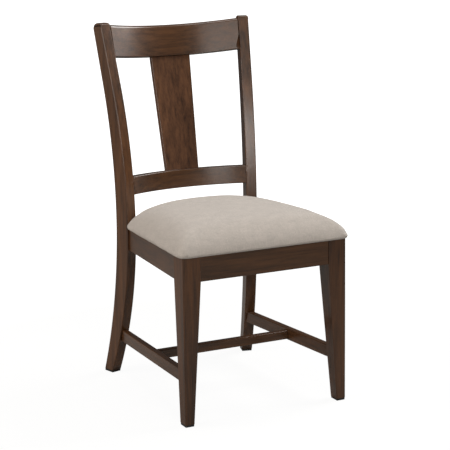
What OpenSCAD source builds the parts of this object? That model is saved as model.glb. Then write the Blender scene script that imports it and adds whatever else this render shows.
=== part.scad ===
/* [Overall] */
// Height of the back posts above the floor
chair_height = 1016; // [960:2:1060]
// Width over the two front legs
front_width = 484; // [440:2:520]
// How much narrower the chair is over the rear legs' front corners at the seat
seat_taper = 72; // [56:2:90]
// Distance from the front faces of the front legs to those of the rear legs
frame_depth = 446; // [410:2:470]
// Height of the top of the seat frame at the front
frame_height = 455; // [435:1:475]
// How much lower the seat frame lies at the rear legs
seat_fall = 10; // [0:1:16]

/* [Front legs] */
// Width of a front leg beside the front rail
front_leg_w = 52; // [48:1:58]
// Depth of a front leg beside the side rail
front_leg_d = 56; // [50:1:60]
// Width of a front leg at the floor
front_foot_w = 26; // [24:1:34]
// Depth of a front leg at the floor
front_foot_d = 34; // [26:1:40]

/* [Rear legs] */
// Thickness of the plank that each rear leg is sawn from
rear_leg_t = 31; // [29:1:36]
// Angle by which the rear legs turn inward to meet the curved back
rear_leg_toe = 15; // [10:1:18]
// Depth of a rear leg at the seat
rear_leg_d = 53; // [50:1:58]
// Depth of a rear leg at the floor
rear_foot_d = 37; // [32:1:44]
// How far the front edge of the foot is swept behind that at the seat
foot_sweep = 93; // [70:1:105]
// Lean of the front edge of the upper leg
front_edge_lean = 15; // [11:0.5:16]
// Lean of the back edge of the upper leg
back_edge_lean = 13.5; // [10:0.5:14.5]
// Height above which the upper leg runs straight
straight_from = 850; // [800:5:880]
// How far below the frame top the front edge turns
front_bend_drop = 5; // [0:1:20]
// How far above the frame top the back edge turns
back_bend_rise = 15; // [5:1:25]
// Radius of the rounded back corner at the top of a post
post_top_r = 17; // [8:1:20]
// Radius of the rounded front corner at the top of a post
post_front_r = 5; // [2:0.5:8]

/* [Back rails] */
// Depth of the crest rail's curve over its length
crest_sag = 54; // [40:1:60]
// Height of the crest rail at its ends, along the back
crest_h = 91; // [80:1:104]
// How far the ends of the crest rail lie below the tops of the posts
crest_drop = 4; // [2:1:12]
// Height of the lower rail's top edge above the floor
rail_top = 590; // [575:1:615]
// Height of the lower rail, along the back
rail_h = 52; // [44:1:60]
// Depth of the lower rail's curve over its length
rail_sag = 47; // [36:1:52]
// Thickness of both curved rails
back_rail_t = 26; // [24:1:30]

/* [Splat] */
// Width of the splat at the crest rail
splat_top_w = 122; // [100:2:136]
// Width of the splat at the lower rail
splat_low_w = 102; // [84:2:120]
// Thickness of the splat
splat_t = 16; // [12:1:17]
// How far the splat lies behind the middles of the rails' front faces
splat_setback = 7; // [4:0.5:8]

/* [Seat frame] */
// Height of the front rail
front_apron_h = 67; // [60:1:76]
// Height of the side and rear rails
side_apron_h = 64; // [58:1:70]
// Thickness of the seat rails
apron_t = 22; // [20:1:24]
// How far the front rail lies behind the front legs' faces
front_inset = 2; // [1:0.5:4]
// How far the side rails lie inside the front legs' outer faces
side_inset = 1.5; // [1:0.5:4]
// How far the rear rail lies behind the rear legs' front corners
rear_apron_set = 16; // [14:1:20]
// Length of a corner block's sides along the rails
block_leg = 92; // [84:1:104]
// Height of the corner blocks
block_h = 40; // [34:1:44]

/* [Stretchers] */
// Height of the side stretchers' centre at the front legs
stretcher_z = 130; // [110:1:160]
// Height of a side stretcher
stretcher_h = 34; // [30:1:40]
// Thickness of a side stretcher
stretcher_t = 18; // [16:1:20]
// Height of the centre stretcher
centre_h = 25; // [20:1:28]
// Thickness of the centre stretcher
centre_t = 19; // [16:1:24]
// How far the centre stretcher lies below the middle of the side stretchers
centre_drop = 1.5; // [0:0.5:4]
// Place of the centre stretcher between the legs, from 0 at the front to 1
centre_share = 0.5; // [0.4:0.02:0.6]

/* [Seat] */
// How far the cushion hangs over the front legs' outer faces
side_overhang = 12; // [6:1:16]
// How far the cushion hangs over the rear legs' outer front corners
rear_overhang = 6; // [2:1:14]
// How far the cushion hangs over the front legs' front faces
front_overhang = 12; // [6:1:16]
// How far the cushion reaches behind the rear legs' front corners
rear_reach = 36; // [32:1:42]
// Radius of the cushion's front corners, seen from above
front_corner_r = 24; // [12:1:36]
// Radius of the cushion's rear corners in front of the posts
rear_corner_r = 26; // [12:1:32]
// Height of the cushion's widest line above the seat frame
bulge_z = 8; // [6:1:12]
// Rise of the rounded shoulder above the widest line
shoulder_h = 40; // [36:1:44]
// Height of the crown above the shoulder
crown_h = 38; // [30:1:48]
// Thickness of the plywood board
board_t = 12; // [9:1:13]
// Thickness of the woven cover
cover_t = 1.5; // [1:0.1:2]

/* [Joints and hardware] */
// Diameter of the dowels
dowel_d = 8; // [6:0.5:10]
// Length of the dowels
dowel_l = 32; // [28:1:34]
// Length of the tenons on the back rails
tenon_l = 16; // [12:1:18]
// Thickness of the tenons
tenon_t = 10; // [8:0.5:12]
// Length of the tongues on the splat
tongue_l = 9; // [7:0.5:10]
// Diameter of the wood screws' shanks
screw_d = 4; // [3.5:0.5:5]
// Diameter of the wood screws' heads
screw_head_d = 8.5; // [7.5:0.5:10]
// Distance of the glides inside the faces of the feet
glide_inset = 1; // [0.5:0.25:2]
// Height of the glides
glide_h = 5; // [3:0.5:8]

/* [Hidden] */
$fn = 48;

// Clearance round every tenon, tongue and dowel
fit_gap = 0.15;
// Clearance beyond the end of a tenon or dowel
end_gap = 1;
// Clearance round the soft pieces
soft_gap = 0.3;
// Clearance between the cushion and the back posts
post_gap = 1.5;
// Overrun of every cut past the wood
over = 20;
// Facets of the large curves of the back rails
curve_fn = 240;
// Steps along each edge of a rear leg
leg_steps = 48;
// Steps round the post's top corner
corner_steps = 5;
// Shoulder left above and below a tenon
tenon_shoulder = 8;
// Depth of a tenon behind the front face
tenon_inset = 8;
// Root of a tenon inside its own rail
tenon_root = 6;
// Shoulder left at the front and back of the splat's tongue
tongue_shoulder = 3;
// Shoulder left at each side of the splat's tongue
tongue_side = 8;
// Section of a stretcher's tenon and its length
stretcher_tenon_t = 9;
stretcher_tenon_h = 22;
stretcher_tenon_l = 14;
// The same for the centre stretcher
centre_tenon_t = 9;
centre_tenon_h = 15;
centre_tenon_l = 9;
// Half the height between the two dowels of a joint, wide pair and narrow pair
dowel_rise = 19;
rear_dowel_rise = 7;
// Drop of the corner blocks below the frame top
block_drop = 3;
// Wood between the head of a block screw and the rail
screw_grip = 15;
// Reach of a block screw into the rail
screw_bite = 14;
// Thickness of a screw's head and clearance round the shank and head
screw_head_h = 3;
screw_gap = 0.25;
// Places of the block screws along the block's sides
screw_place_share = 0.58;
// Depth of the recess for a seat screw's head
seat_screw_recess = 14;
// Reach of a seat screw into the board
seat_screw_bite = 9;
// Distance of a seat screw behind the corner block's long face
seat_screw_edge = 12;
// Diameter and length of a glide's nail
glide_pin_d = 2.5;
glide_pin_l = 14;
// Thickness of the dust cover and its distance inside the frame
dust_t = 0.8;
dust_inset = 3;
// Radius of the cushion's corners behind the posts
back_corner_r = 12;
// Points on the front edge, each round corner, each side and the corners behind the posts
front_steps = 3;
round_steps = 4;
side_steps = 5;
back_steps = 3;
// Rings of the cushion's crown
crown_rings = 8;
// Powers of the shoulder and of the crown
shoulder_power = 2.6;
crown_power = 4;
// How far the rings turn oval towards the middle
oval_share = 0.5;
// Shares of the outline at the cover's hem, the lower edge, the board's edge and the last ring
hem_share = 0.84;
tuck_share = 0.99;
board_share = 0.985;
pole_share = 0.14;
// Steps in which the lower edge turns up to the widest line, as shares of its two sizes
tuck_steps = [[0, 0], [0.75, 0.2], [0.95, 0.6], [1, 1]];

wood = "#4a3226";
wood_dark = "#33221a";
birch = "#c9a97a";
steel = "#9a9a98";
linen = "#b8ada0";

seat_slope = atan(seat_fall / frame_depth);
front_half = front_width / 2;
rear_width = front_width - seat_taper;
rear_half = rear_width / 2;
taper_start = frame_height - front_apron_h;
front_bend = frame_height - front_bend_drop;
back_bend = frame_height + back_bend_rise;
back_sweep = foot_sweep + rear_foot_d - rear_leg_d;

// Sweep of an arc of the given radius after a rise from its foremost point
function sweep(rise, radius) = radius - sqrt(radius * radius - rise * rise);
function radius_for(rise, sag) = (rise * rise + sag * sag) / (2 * sag);

low_front_r = radius_for(front_bend, foot_sweep);
low_back_r = radius_for(back_bend, back_sweep);
up_front_r = (straight_from - front_bend) / sin(front_edge_lean);
up_back_r = (straight_from - back_bend) / sin(back_edge_lean);

// Edge of a rear leg: an arc below, an arc above and a straight top
function leg_edge(z, bend, low_r, up_r, lean) =
    z < bend ? sweep(bend - z, low_r)
    : z < straight_from ? sweep(z - bend, up_r)
    : sweep(straight_from - bend, up_r) + (z - straight_from) * tan(lean);
function front_edge(z) = leg_edge(z, front_bend, low_front_r, up_front_r, front_edge_lean);
function back_edge(z) = rear_leg_d + leg_edge(z, back_bend, low_back_r, up_back_r, back_edge_lean);

// Place of a point of the left rear leg, measured across its thickness and back from its face
function leg_x(across, back) = rear_half - across * cos(rear_leg_toe) + back * sin(rear_leg_toe);
function leg_y(across, back) = frame_depth + across * sin(rear_leg_toe) + back * cos(rear_leg_toe);

crest_top = chair_height - crest_drop;
crest_lean = atan(tan(front_edge_lean) * cos(rear_leg_toe));

// Foremost and rearmost points, at the cushion and at the middle of the crest rail
front_extent = -front_overhang * cos(seat_slope) + bulge_z * sin(seat_slope);
rear_extent = leg_y(rear_leg_t, front_edge(crest_top))
    + (crest_sag + back_rail_t) * cos(crest_lean);
origin_y = (rear_extent + front_extent) / 2;

// Height of the sloping frame top, and half-size of a front leg, at a place
function frame_top(y) = frame_height - y * seat_fall / frame_depth;
function leg_taper(z, foot, top) = z > taper_start ? top : foot + (top - foot) * z / taper_start;

module left_leg_place() {
    translate([-rear_half, frame_depth, 0]) rotate([0, 0, rear_leg_toe]) children();
}

module on_side(side) {
    mirror([side > 0 ? 1 : 0, 0, 0]) children();
}

module placed() {
    translate([0, -origin_y, 0]) children();
}

// Extrusion along X of an outline drawn in Y and Z
module along_x(length) {
    rotate([90, 0, 90]) linear_extrude(length) children();
}

// Bar between two points, with its local Y along it
module between(a, b) {
    d = b - a;
    translate(a) rotate([asin(d[2] / norm(d)), 0, atan2(-d[0], d[1])]) children();
}

module bar(length, width, height) {
    translate([-width / 2, 0, -height / 2]) cube([width, length, height]);
}

// Rear legs
function rounded_corner(from, to, centre, r) = [for (i = [0:corner_steps])
    let (a = from + (to - from) * i / corner_steps) centre + r * [cos(a), sin(a)]];

module rear_leg_blank() {
    front_top = chair_height - post_front_r;
    back_top = chair_height - post_top_r;
    function step_z(i, top) = glide_h + i * (top - glide_h) / leg_steps;
    front = [for (i = [0:leg_steps - 1]) [front_edge(step_z(i, front_top)), step_z(i, front_top)]];
    back = [for (i = [leg_steps - 1:-1:0]) [back_edge(step_z(i, back_top)), step_z(i, back_top)]];
    along_x(rear_leg_t) polygon(concat(front,
        rounded_corner(180, 90, [front_edge(front_top) + post_front_r, front_top], post_front_r),
        rounded_corner(90, 0, [back_edge(back_top) - post_top_r, back_top], post_top_r),
        back));
}

// Tenon of a back rail inside the left rear leg, between two heights of the leg
module rail_tenon(low, high, gap, depth) {
    f = tenon_inset - gap;
    b = tenon_inset + tenon_t + gap;
    translate([rear_leg_t - depth, 0, 0]) along_x(depth + (gap > 0 ? over : tenon_root))
        polygon([
            [front_edge(low - gap) + f, low - gap],
            [front_edge(low - gap) + b, low - gap],
            [front_edge(high + gap) + b, high + gap],
            [front_edge(high + gap) + f, high + gap]
        ]);
}

crest_low = crest_top - crest_h * cos(crest_lean);
rail_low = rail_top - rail_h;
crest_tenon_low = crest_low + tenon_shoulder;
crest_tenon_high = crest_top - tenon_shoulder;
rail_tenon_low = rail_low + tenon_shoulder;
rail_tenon_high = rail_top - tenon_shoulder;

module rear_leg(side) {
    color(wood) placed() on_side(side) difference() {
        left_leg_place() difference() {
            rear_leg_blank();
            rail_tenon(crest_tenon_low, crest_tenon_high, fit_gap, tenon_l + end_gap);
            rail_tenon(rail_tenon_low, rail_tenon_high, fit_gap, tenon_l + end_gap);
        }
        side_apron_rear_dowels(fit_gap, end_gap);
        rear_apron_dowels(fit_gap, end_gap);
        stretcher_tenons(fit_gap, end_gap);
        rear_glide_place() glide_pin(fit_gap);
    }
}

// Front legs, tapered on their two inner faces below the seat rails
module front_leg_blank() {
    intersection() {
        translate([0, front_leg_d + over, 0]) rotate([90, 0, 0]) linear_extrude(front_leg_d + 2 * over)
            polygon([
                [-front_half, glide_h],
                [-front_half, frame_height + over],
                [-front_half + front_leg_w, frame_height + over],
                [-front_half + front_leg_w, taper_start],
                [-front_half + leg_taper(glide_h, front_foot_w, front_leg_w), glide_h]
            ]);
        translate([-front_half - over, 0, 0]) along_x(front_leg_w + 2 * over)
            polygon([
                [0, glide_h],
                [0, frame_height],
                [front_leg_d, frame_top(front_leg_d)],
                [front_leg_d, taper_start],
                [leg_taper(glide_h, front_foot_d, front_leg_d), glide_h]
            ]);
    }
}

module front_leg(side) {
    color(wood) placed() on_side(side) difference() {
        front_leg_blank();
        front_apron_dowels(fit_gap, end_gap);
        side_apron_front_dowels(fit_gap, end_gap);
        stretcher_tenons(fit_gap, end_gap);
        front_glide_place() glide_pin(fit_gap);
    }
}

// Curved back rails: a ring about an upright axis, cut between the posts and leant back
module curved_band(radius, sag, thick, half, height) {
    translate([0, sag - radius, 0]) linear_extrude(height) intersection() {
        difference() {
            circle(radius + thick, $fn = curve_fn);
            circle(radius, $fn = curve_fn);
        }
        translate([-half, 0]) square([2 * half, radius + thick]);
    }
}

module post_side_cuts() {
    for (side = [-1, 1]) on_side(side) left_leg_place()
        translate([rear_leg_t - chair_height, -chair_height / 2, 0])
        cube([chair_height, chair_height, chair_height + over]);
}

crest_half = leg_x(rear_leg_t, front_edge((crest_top + crest_low) / 2));
crest_r = radius_for(crest_half, crest_sag);

module crest_place() {
    translate([0, leg_y(rear_leg_t, front_edge(crest_top)), crest_top])
        rotate([-crest_lean, 0, 0]) children();
}

module crest_rail() {
    color(wood) placed() {
        difference() {
            crest_place() translate([0, 0, -crest_h])
                curved_band(crest_r, crest_sag, back_rail_t, crest_half + over, crest_h);
            post_side_cuts();
            splat_tongue(fit_gap);
        }
        for (side = [-1, 1]) on_side(side) left_leg_place()
            rail_tenon(crest_tenon_low, crest_tenon_high, 0, tenon_l);
    }
}

rail_mid = rail_top - rail_h / 2;
rail_half = leg_x(rear_leg_t, front_edge(rail_mid));
rail_r = radius_for(rail_half, rail_sag);
rail_lean = atan((leg_y(0, front_edge(rail_top)) - leg_y(0, front_edge(rail_low))) / rail_h);

module rail_place() {
    translate([0, leg_y(rear_leg_t, front_edge(rail_top)), rail_top]) rotate([-rail_lean, 0, 0]) children();
}

module back_rail() {
    color(wood) placed() {
        difference() {
            rail_place() translate([0, 0, -rail_h])
                curved_band(rail_r, rail_sag, back_rail_t, rail_half + over, rail_h);
            post_side_cuts();
            splat_tongue(fit_gap);
        }
        for (side = [-1, 1]) on_side(side) left_leg_place()
            rail_tenon(rail_tenon_low, rail_tenon_high, 0, tenon_l);
    }
}

// Splat between the middles of the two curved rails
splat_low_y = leg_y(rear_leg_t, front_edge(rail_top)) + rail_sag * cos(rail_lean);
splat_low_z = rail_top - rail_sag * sin(rail_lean);
splat_top_y = leg_y(rear_leg_t, front_edge(crest_top))
    + crest_sag * cos(crest_lean) - crest_h * sin(crest_lean);
splat_top_z = crest_top - crest_sag * sin(crest_lean) - crest_h * cos(crest_lean);
splat_lean = atan((splat_top_y - splat_low_y) / (splat_top_z - splat_low_z));
splat_l = norm([splat_top_y - splat_low_y, splat_top_z - splat_low_z]);

module splat_place() {
    translate([0, splat_low_y, splat_low_z]) rotate([-splat_lean, 0, 0]) children();
}

// Panel with the splat's taper, its faces and edges moved in, running past its ends
module splat_panel(face_in, side_in, past) {
    grow = (splat_top_w - splat_low_w) / 2 / splat_l;
    low = splat_low_w / 2 - side_in;
    top = splat_top_w / 2 - side_in;
    translate([0, splat_setback + splat_t - face_in, 0]) rotate([90, 0, 0])
        linear_extrude(splat_t - 2 * face_in)
        polygon([
            [-low + past * grow, -past],
            [low - past * grow, -past],
            [top + past * grow, splat_l + past],
            [-top - past * grow, splat_l + past]
        ]);
}

module splat_tongue(gap) {
    splat_place() splat_panel(tongue_shoulder - gap, tongue_side - gap, tongue_l + (gap > 0 ? end_gap : 0));
}

module splat() {
    color(wood) placed() {
        difference() {
            splat_place() splat_panel(0, 0, tongue_l);
            crest_place() translate([-splat_top_w, -splat_top_w, -crest_h])
                cube([2 * splat_top_w, 2 * splat_top_w + crest_sag, crest_h]);
            rail_place() translate([-splat_top_w, -splat_top_w, -rail_h])
                cube([2 * splat_top_w, 2 * splat_top_w + rail_sag, rail_h]);
        }
        splat_tongue(0);
    }
}

// Seat rails
apron_x = front_half - front_leg_w;

module front_apron() {
    back = front_inset + apron_t;
    color(wood) placed() difference() {
        translate([-apron_x, 0, 0]) along_x(2 * apron_x)
            polygon([
                [front_inset, taper_start],
                [front_inset, frame_top(front_inset)],
                [back, frame_top(back)],
                [back, taper_start]
            ]);
        for (side = [-1, 1]) on_side(side) {
            front_apron_dowels(fit_gap, end_gap);
            front_block_screws(screw_gap, 1);
        }
    }
}

rear_apron_y = frame_depth + rear_apron_set;
rear_apron_back = rear_apron_y + apron_t;

module rear_apron() {
    color(wood) placed() difference() {
        translate([-rear_half, 0, 0]) along_x(rear_width)
            polygon([
                [rear_apron_y, frame_top(rear_apron_y) - side_apron_h],
                [rear_apron_y, frame_top(rear_apron_y)],
                [rear_apron_back, frame_top(rear_apron_back)],
                [rear_apron_back, frame_top(rear_apron_back) - side_apron_h]
            ]);
        post_side_cuts();
        for (side = [-1, 1]) on_side(side) {
            rear_apron_dowels(fit_gap, end_gap);
            rear_block_screws(screw_gap, 1);
        }
    }
}

// Left side rail: its outer face runs from the front leg to the middle of the rear leg's face
apron_front_x = -front_half + side_inset;
apron_rear_x = -leg_x((rear_leg_t - apron_t) / 2, 0);
splay = atan((apron_rear_x - apron_front_x) / (frame_depth - front_leg_d));
apron_across = apron_t / cos(splay);
function apron_outer(y) = apron_front_x + (y - front_leg_d) * tan(splay);
function apron_inner(y) = apron_outer(y) + apron_across;

module side_apron_blank() {
    end = frame_depth + rear_leg_t / 2;
    intersection() {
        linear_extrude(chair_height) polygon([
            [apron_outer(front_leg_d), front_leg_d],
            [apron_inner(front_leg_d), front_leg_d],
            [apron_inner(end), end],
            [apron_outer(end), end]
        ]);
        translate([-front_half, 0, 0]) along_x(front_half)
            polygon([
                [0, frame_top(0) - side_apron_h],
                [0, frame_top(0)],
                [end + over, frame_top(end + over)],
                [end + over, frame_top(end + over) - side_apron_h]
            ]);
    }
}

module side_apron(side) {
    color(wood) placed() on_side(side) difference() {
        side_apron_blank();
        left_leg_place() translate([-chair_height / 2, 0, 0]) cube(chair_height);
        side_apron_front_dowels(fit_gap, end_gap);
        side_apron_rear_dowels(fit_gap, end_gap);
        side_block_screws(screw_gap, 1);
    }
}

// Dowels between the seat rails and the legs on the left side
module dowel(gap, past) {
    cylinder(d = dowel_d + 2 * gap, h = dowel_l + 2 * past, center = true);
}

module front_apron_dowels(gap, past) {
    for (rise = [-dowel_rise, dowel_rise])
        translate([-apron_x, front_inset + apron_t / 2, taper_start + front_apron_h / 2 + rise])
        rotate([0, 90, 0]) dowel(gap, past);
}

module side_apron_front_dowels(gap, past) {
    for (rise = [-dowel_rise, dowel_rise])
        translate([(apron_outer(front_leg_d) + apron_inner(front_leg_d)) / 2, front_leg_d,
            frame_top(front_leg_d) - side_apron_h / 2 + rise])
        rotate([90, 0, 0]) dowel(gap, past);
}

module side_apron_rear_dowels(gap, past) {
    for (rise = [-dowel_rise, dowel_rise])
        left_leg_place() translate([rear_leg_t / 2, 0, frame_top(frame_depth) - side_apron_h / 2 + rise])
        rotate([90, 0, 0]) dowel(gap, past);
}

module rear_apron_dowels(gap, past) {
    back = (rear_apron_set + apron_t / 2 - rear_leg_t * sin(rear_leg_toe)) / cos(rear_leg_toe);
    for (rise = [-rear_dowel_rise, rear_dowel_rise])
        left_leg_place() translate([rear_leg_t, back, frame_top(rear_apron_y) - side_apron_h / 2 + rise])
        rotate([0, 90, 0]) dowel(gap, past);
}

module apron_dowels() {
    color(birch) placed() for (side = [-1, 1]) on_side(side) {
        front_apron_dowels(0, 0);
        side_apron_front_dowels(0, 0);
        side_apron_rear_dowels(0, 0);
        rear_apron_dowels(0, 0);
    }
}

// Stretchers
stretcher_low = stretcher_z - seat_fall;
stretcher_front = [
    -front_half + leg_taper(stretcher_z, front_foot_w, front_leg_w) / 2,
    leg_taper(stretcher_z, front_foot_d, front_leg_d),
    stretcher_z
];
stretcher_rear = [
    -leg_x(rear_leg_t / 2, front_edge(stretcher_low)),
    leg_y(rear_leg_t / 2, front_edge(stretcher_low)),
    stretcher_low
];
stretcher_l = norm(stretcher_rear - stretcher_front);

module stretcher_tenons(gap, past) {
    reach = stretcher_tenon_l + past;
    between(stretcher_front, stretcher_rear) translate([0, -reach, 0])
        bar(stretcher_l + 2 * reach, stretcher_tenon_t + 2 * gap, stretcher_tenon_h + 2 * gap);
}

module side_stretcher_bar() {
    between(stretcher_front, stretcher_rear) translate([0, -stretcher_tenon_l, 0])
        bar(stretcher_l + 2 * stretcher_tenon_l, stretcher_t, stretcher_h);
}

module side_stretcher(side) {
    color(wood) placed() on_side(side) difference() {
        union() {
            difference() {
                side_stretcher_bar();
                front_leg_blank();
                left_leg_place() rear_leg_blank();
            }
            stretcher_tenons(0, 0);
        }
        centre_tenon(fit_gap, end_gap);
    }
}

centre_point = stretcher_front + centre_share * (stretcher_rear - stretcher_front) - [0, 0, centre_drop];
centre_half = -centre_point[0];

module centre_tenon(gap, past) {
    reach = centre_half - stretcher_t / 2 + centre_tenon_l + past;
    translate([-reach, centre_point[1] - centre_tenon_t / 2 - gap, centre_point[2] - centre_tenon_h / 2 - gap])
        cube([2 * reach, centre_tenon_t + 2 * gap, centre_tenon_h + 2 * gap]);
}

module centre_stretcher() {
    color(wood) placed() {
        difference() {
            translate([-centre_half, centre_point[1] - centre_t / 2, centre_point[2] - centre_h / 2])
                cube([2 * centre_half, centre_t, centre_h]);
            for (side = [-1, 1]) on_side(side) side_stretcher_bar();
        }
        centre_tenon(0, 0);
    }
}

// Corner blocks in the left corners of the seat frame
front_inner = front_inset + apron_t;

function block_corner(rear) = let (y = rear ? rear_apron_y : front_inner) [apron_inner(y), y];
function block_end(rear) = block_corner(rear) + [block_leg, 0];
function block_side(rear) =
    let (y = block_corner(rear)[1] + (rear ? -block_leg : block_leg)) [apron_inner(y), y];
function block_top(rear) =
    frame_top(rear ? rear_apron_y : front_inner + block_leg) - block_drop;
function block_screw_z(rear) = block_top(rear) - block_h / 2;

// Place of the seat screw: behind the middle of the block's long face
function seat_screw_xy(rear) =
    let (mid = (block_end(rear) + block_side(rear)) / 2, to = block_corner(rear) - mid)
    mid + to / norm(to) * seat_screw_edge;

module corner_block(side, rear) {
    color(birch) placed() on_side(side) difference() {
        translate([0, 0, block_top(rear) - block_h]) linear_extrude(block_h)
            polygon([block_corner(rear), block_end(rear), block_side(rear)]);
        front_leg_blank();
        left_leg_place() rear_leg_blank();
        seat_screw_place(rear) {
            cylinder(d = screw_d + 2 * screw_gap, h = block_h + over);
            translate([0, 0, -over]) cylinder(d = screw_head_d + 2 * screw_gap, h = over);
        }
        if (rear) rear_block_screws(screw_gap, block_leg);
        else front_block_screws(screw_gap, block_leg);
        side_block_screws(screw_gap, block_leg);
    }
}

// Wood screw along -Z with the seat of its head at the origin
module screw(gap, length, head) {
    translate([0, 0, -length]) cylinder(d = screw_d + 2 * gap, h = length);
    cylinder(d = screw_head_d + 2 * gap, h = head);
}

module block_screw(gap, head) {
    screw(gap, screw_grip + screw_bite, head);
}

module front_block_screws(gap, head) {
    p = block_corner(false) + screw_place_share * [block_leg, 0];
    translate([p[0], p[1] + screw_grip, block_screw_z(false)]) rotate([-90, 0, 0])
        block_screw(gap, head);
}

module rear_block_screws(gap, head) {
    p = block_corner(true) + screw_place_share * [block_leg, 0];
    translate([p[0], p[1] - screw_grip, block_screw_z(true)]) rotate([90, 0, 0])
        block_screw(gap, head);
}

module side_block_screws(gap, head) {
    for (rear = [false, true]) {
        y = block_corner(rear)[1] + (rear ? -1 : 1) * screw_place_share * block_leg;
        translate([apron_inner(y) + screw_grip, y, block_screw_z(rear)]) rotate([0, 90, 0])
            block_screw(gap, head);
    }
}

module corner_block_screws() {
    color(steel) placed() for (side = [-1, 1]) on_side(side) {
        front_block_screws(0, screw_head_h);
        rear_block_screws(0, screw_head_h);
        side_block_screws(0, screw_head_h);
    }
}

// Seat screws stand upright, heads down, in the recesses of the blocks
module seat_screw_place(rear) {
    xy = seat_screw_xy(rear);
    translate([xy[0], xy[1], block_top(rear) - block_h + seat_screw_recess]) children();
}

module seat_screw(rear, gap) {
    xy = seat_screw_xy(rear);
    low = block_top(rear) - block_h + seat_screw_recess;
    high = frame_top(xy[1]) + soft_gap + cover_t + soft_gap + seat_screw_bite;
    seat_screw_place(rear) {
        cylinder(d = screw_d + 2 * gap, h = high - low);
        translate([0, 0, -screw_head_h]) cylinder(d = screw_head_d + 2 * gap, h = screw_head_h);
    }
}

module seat_screws() {
    color(steel) placed() for (side = [-1, 1], rear = [false, true]) on_side(side) seat_screw(rear, 0);
}

// Seat: board, foam and cover, on the sloping top of the frame
seat_mid = (frame_depth + rear_reach - front_overhang) / 2;
seat_half_d = (frame_depth + rear_reach + front_overhang) / 2;
seat_front_half = front_half + side_overhang;
seat_rear_half = rear_half + rear_overhang;
seat_mean_half = (seat_front_half + seat_rear_half) / 2;
side_turn = atan((seat_front_half - seat_rear_half) / (frame_depth + front_overhang));

module seat_place() {
    translate([0, 0, frame_height]) rotate([-seat_slope, 0, 0]) children();
}

// A straight edge as [direction of its outward normal, distance from the origin]
function edge_at(turn, point, gap = 0) = [turn, point * [cos(turn), sin(turn)] - gap];
function meet(a, b, r = 0) =
    let (d = sin(b[0] - a[0]), p = a[1] - r, q = b[1] - r)
    [(p * sin(b[0]) - q * sin(a[0])) / d, (q * cos(a[0]) - p * cos(b[0])) / d];
function round_meet(a, b, r, steps) = [for (i = [0:steps])
    let (t = a[0] + (b[0] - a[0]) * i / steps) meet(a, b, r) + r * [cos(t), sin(t)]];
function along(a, b, steps) = [for (i = [1:steps - 1]) a + (b - a) * i / steps];

// Edges of the right half: front, side, round the post's face and flank, and rear
seat_front_edge = edge_at(-90, [0, -front_overhang]);
seat_side_edge = edge_at(side_turn, [seat_front_half, -front_overhang]);
seat_face_edge = edge_at(90 - rear_leg_toe, [leg_x(0, 0), leg_y(0, 0)], post_gap);
seat_flank_edge = edge_at(-rear_leg_toe, [leg_x(rear_leg_t, 0), leg_y(rear_leg_t, 0)], post_gap);
seat_rear_edge = edge_at(90, [0, frame_depth + rear_reach]);

front_corner = round_meet(seat_front_edge, seat_side_edge, front_corner_r, round_steps);
rear_corner = round_meet(seat_side_edge, seat_face_edge, rear_corner_r, round_steps);
back_corner = round_meet(seat_flank_edge, seat_rear_edge, back_corner_r, back_steps);
front_middle = [0, -front_overhang];
rear_middle = [0, frame_depth + rear_reach];
right_side = concat(
    along(front_middle, front_corner[0], front_steps),
    front_corner,
    along(front_corner[round_steps], rear_corner[0], side_steps),
    rear_corner,
    [meet(seat_face_edge, seat_flank_edge)],
    back_corner,
    along(back_corner[back_steps], rear_middle, 2));
side_count = len(right_side);
left_side = [for (i = [side_count - 1:-1:0]) [-right_side[i][0], right_side[i][1]]];
seat_outline = [for (p = concat([front_middle], right_side, [rear_middle], left_side)) p - [0, seat_mid]];
points_count = len(seat_outline);

// Outline moved in by a distance towards the middle
function outline_point(i, inward) = let (p = seat_outline[i]) p * (1 - inward / norm(p));
function ring_point(i, share, inward) =
    let (p = outline_point(i, inward),
        oval = 1 / norm([p[0] / seat_mean_half, p[1] / seat_half_d]),
        turn = (1 - share) * oval_share)
    p * share * (1 - turn + turn * oval);
function ring(share, z, inward) =
    [for (i = [0:points_count - 1]) let (p = ring_point(i, share, inward)) [p[0], p[1] + seat_mid, z]];

// Height of the cushion at a share of its outline
function crown_z(share) =
    bulge_z + shoulder_h * pow(1 - pow(share, shoulder_power), 1 / shoulder_power)
    + crown_h * (1 - pow(share, crown_power));
function crown_share(i) = i == crown_rings ? pole_share : sqrt(cos(90 * i / crown_rings));
crown_shares = [for (i = [1:crown_rings]) crown_share(i)];

// Faces between rings listed from the first to the last, and fans that close an end
function band_faces(first, second) = [for (i = [0:points_count - 1])
    let (j = (i + 1) % points_count)
    each [[first + i, second + i, first + j], [first + j, second + i, second + j]]];
function fan_faces(first, centre) = [for (i = [0:points_count - 1])
    [first + i, centre, first + (i + 1) % points_count]];
function turned(faces) = [for (f = faces) [f[2], f[1], f[0]]];

// Rings of the cover's outer or inner face, from its hem to the crown
function cover_rings(inward, up) = concat(
    [ring(hem_share, soft_gap + up, inward)],
    [for (t = tuck_steps)
        ring(tuck_share + t[0] * (1 - tuck_share), soft_gap + up + t[1] * (bulge_z - soft_gap - up), inward)],
    [for (s = crown_shares) ring(s, crown_z(s) - up, inward)]);

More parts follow.
